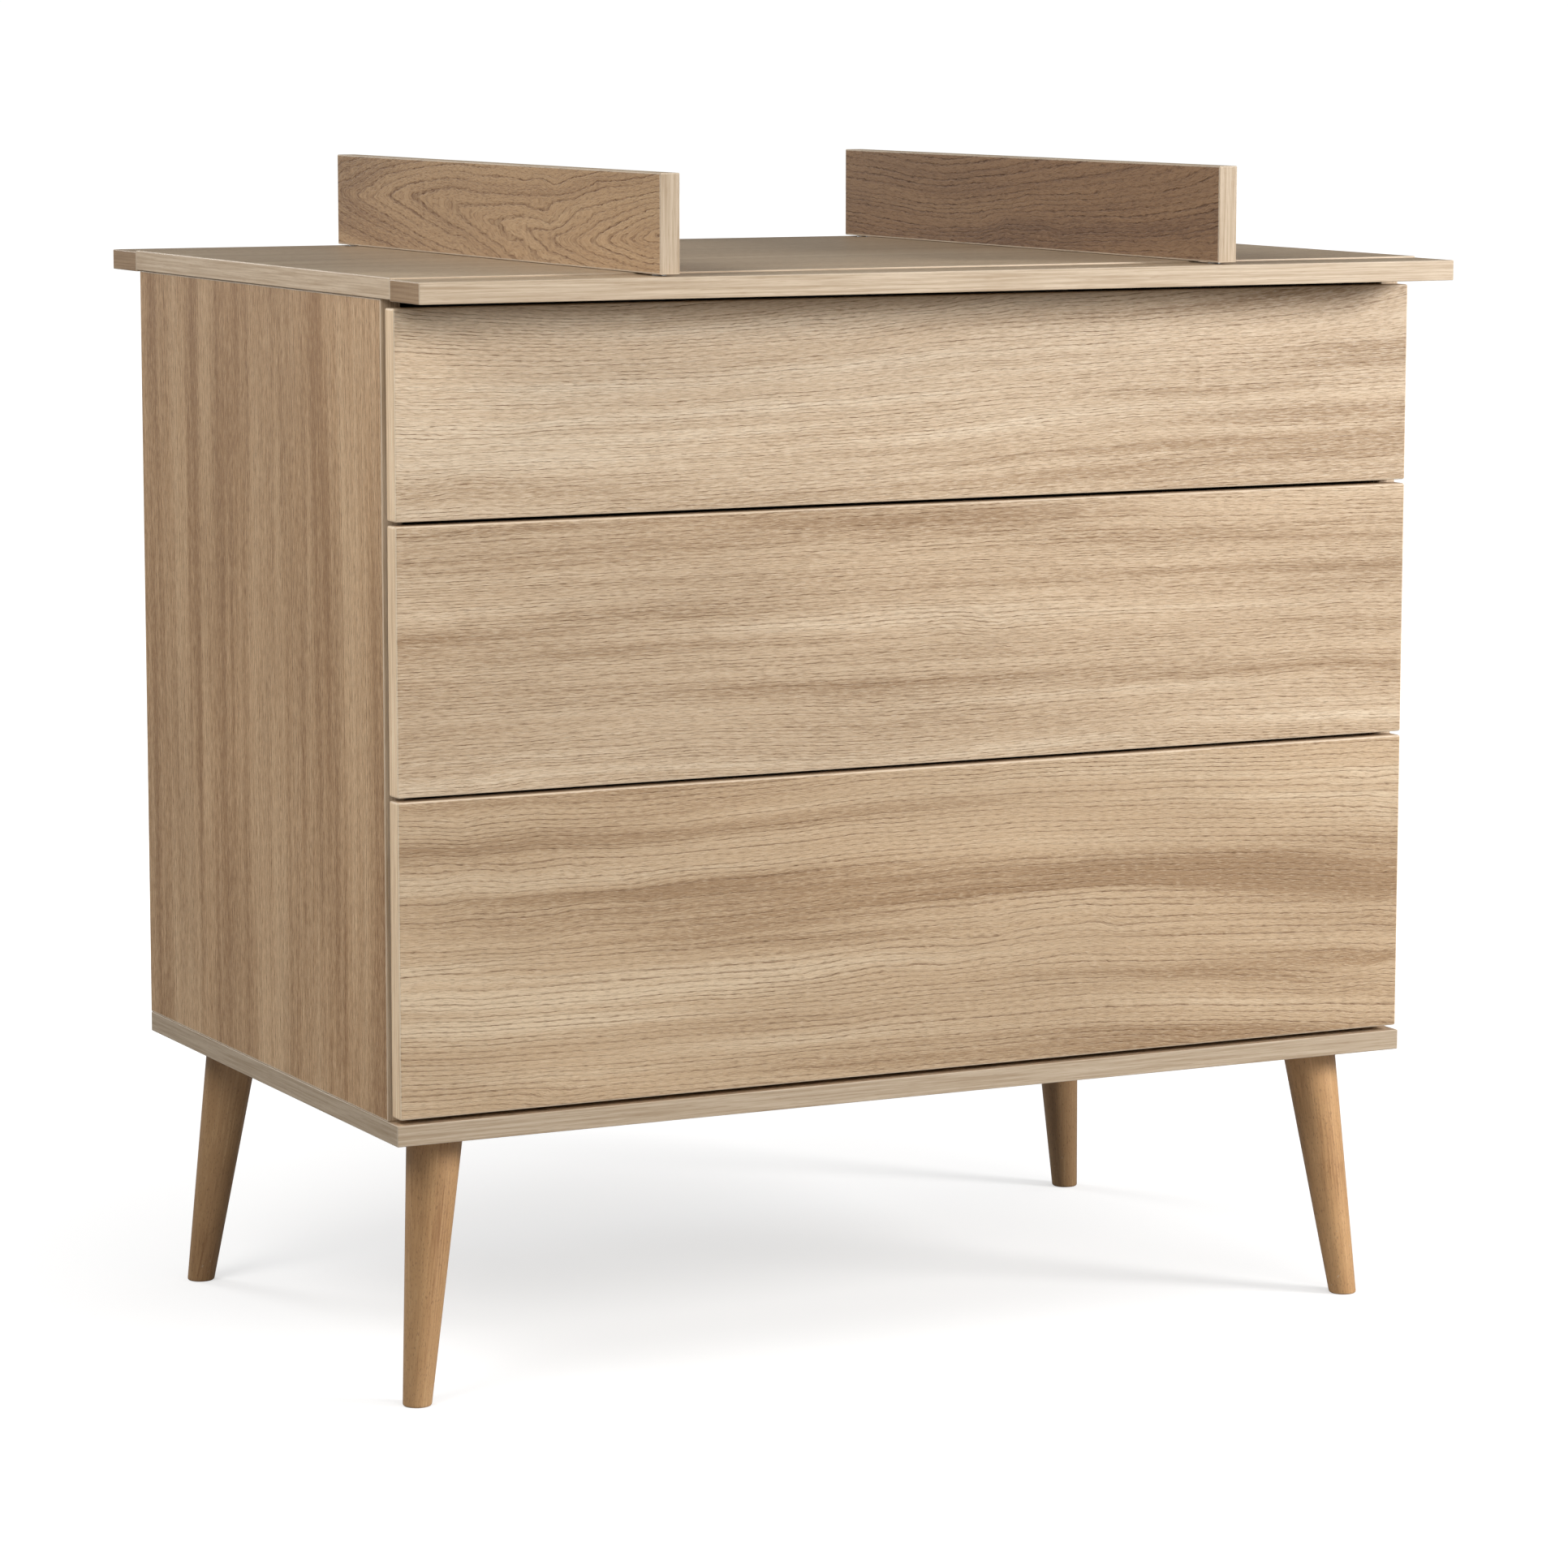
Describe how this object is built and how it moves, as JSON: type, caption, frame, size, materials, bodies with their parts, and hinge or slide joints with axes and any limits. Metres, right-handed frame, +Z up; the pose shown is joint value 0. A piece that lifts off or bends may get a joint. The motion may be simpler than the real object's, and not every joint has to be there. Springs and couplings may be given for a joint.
{
  "type": "changing table",
  "caption": "Wood-look chest of push-to-open drawers on splayed round legs, with a lift-off changing extension whose upright partitions hold a changing mat.",
  "frame": {"origin": "on the floor, under the middle of the chest", "axes": "+X to the right seen from the front, -Y to the front where the drawers open, +Z up"},
  "size_m": [1, 0.7296, 1.0463],
  "materials": {
    "oak_front": "matt oak laminate, grain along the width",
    "oak_carcass": "matt oak laminate, grain along the height on the sides",
    "oak_top": "satin oak laminate",
    "oak_partition": "satin oak laminate, darker figure",
    "stained_beech": "satin stained solid beech",
    "drawer_laminate": "matt light laminate",
    "hardboard": "painted hardboard",
    "zinc_steel": "bright zinc",
    "grey_plastic": "moulded plastic"
  },
  "bodies": {
    "carcass": {"top_panel": "oak_top", "bottom_panel": "oak_carcass", "side_panel_left": "oak_carcass", "side_panel_right": "oak_carcass", "back_panel": "hardboard", "leg_front_left": "stained_beech", "leg_front_right": "stained_beech", "leg_back_left": "stained_beech", "leg_back_right": "stained_beech", "leg_bolt_front_left": "zinc_steel", "leg_bolt_front_right": "zinc_steel", "leg_bolt_back_left": "zinc_steel", "leg_bolt_back_right": "zinc_steel", "runner_cabinet_top_left": "zinc_steel", "runner_cabinet_top_right": "zinc_steel", "runner_cabinet_middle_left": "zinc_steel", "runner_cabinet_middle_right": "zinc_steel", "runner_cabinet_bottom_left": "zinc_steel", "runner_cabinet_bottom_right": "zinc_steel", "latch_housing_top": "grey_plastic", "latch_housing_middle": "grey_plastic", "latch_housing_bottom": "grey_plastic"},
    "drawer_top": {"drawer_front_top": "oak_front", "drawer_side_top_left": "drawer_laminate", "drawer_side_top_right": "drawer_laminate", "drawer_back_top": "drawer_laminate", "drawer_bottom_top": "hardboard", "runner_drawer_top_left": "zinc_steel", "runner_drawer_top_right": "zinc_steel"},
    "drawer_middle": {"drawer_front_middle": "oak_front", "drawer_side_middle_left": "drawer_laminate", "drawer_side_middle_right": "drawer_laminate", "drawer_back_middle": "drawer_laminate", "drawer_bottom_middle": "hardboard", "runner_drawer_middle_left": "zinc_steel", "runner_drawer_middle_right": "zinc_steel"},
    "drawer_bottom": {"drawer_front_bottom": "oak_front", "drawer_side_bottom_left": "drawer_laminate", "drawer_side_bottom_right": "drawer_laminate", "drawer_back_bottom": "drawer_laminate", "drawer_bottom_bottom": "hardboard", "runner_drawer_bottom_left": "zinc_steel", "runner_drawer_bottom_right": "zinc_steel"},
    "runner_middle_top": {"runner_middle_top_left": "zinc_steel", "runner_middle_top_right": "zinc_steel"},
    "runner_middle_middle": {"runner_middle_middle_left": "zinc_steel", "runner_middle_middle_right": "zinc_steel"},
    "runner_middle_bottom": {"runner_middle_bottom_left": "zinc_steel", "runner_middle_bottom_right": "zinc_steel"},
    "plunger_top": {"latch_plunger_top": "grey_plastic"},
    "plunger_middle": {"latch_plunger_middle": "grey_plastic"},
    "plunger_bottom": {"latch_plunger_bottom": "grey_plastic"},
    "extension": {"extension_rail_front": "oak_top", "extension_rail_back": "oak_top", "partition_left": "oak_partition", "partition_right": "oak_partition", "partition_screw_front_left": "zinc_steel", "partition_screw_front_right": "zinc_steel", "partition_screw_back_left": "zinc_steel", "partition_screw_back_right": "zinc_steel"}
  },
  "joints": [
    {"name": "drawer_top_slide", "type": "slide", "parent": "carcass", "child": "drawer_top", "axis": [0, -1, 0], "range_m": [-0.002, 0.45]},
    {"name": "drawer_middle_slide", "type": "slide", "parent": "carcass", "child": "drawer_middle", "axis": [0, -1, 0], "range_m": [-0.002, 0.45]},
    {"name": "drawer_bottom_slide", "type": "slide", "parent": "carcass", "child": "drawer_bottom", "axis": [0, -1, 0], "range_m": [-0.002, 0.45]},
    {"name": "runner_middle_top_slide", "type": "slide", "parent": "carcass", "child": "runner_middle_top", "axis": [0, -1, 0], "range_m": [-0.001, 0.225]},
    {"name": "runner_middle_middle_slide", "type": "slide", "parent": "carcass", "child": "runner_middle_middle", "axis": [0, -1, 0], "range_m": [-0.001, 0.225]},
    {"name": "runner_middle_bottom_slide", "type": "slide", "parent": "carcass", "child": "runner_middle_bottom", "axis": [0, -1, 0], "range_m": [-0.001, 0.225]},
    {"name": "plunger_top_press", "type": "slide", "parent": "carcass", "child": "plunger_top", "axis": [0, -1, 0], "range_m": [-0.003, 0], "stiffness_N_per_m": 600},
    {"name": "plunger_middle_press", "type": "slide", "parent": "carcass", "child": "plunger_middle", "axis": [0, -1, 0], "range_m": [-0.003, 0], "stiffness_N_per_m": 600},
    {"name": "plunger_bottom_press", "type": "slide", "parent": "carcass", "child": "plunger_bottom", "axis": [0, -1, 0], "range_m": [-0.003, 0], "stiffness_N_per_m": 600},
    {"name": "extension_lift", "type": "slide", "parent": "carcass", "child": "extension", "axis": [0, 0, 1], "range_m": [0, 0.12]}
  ],
  "couplings": [
    {"joint": "runner_middle_top_slide", "follows": "drawer_top_slide", "ratio": 0.5},
    {"joint": "runner_middle_middle_slide", "follows": "drawer_middle_slide", "ratio": 0.5},
    {"joint": "runner_middle_bottom_slide", "follows": "drawer_bottom_slide", "ratio": 0.5}
  ]
}
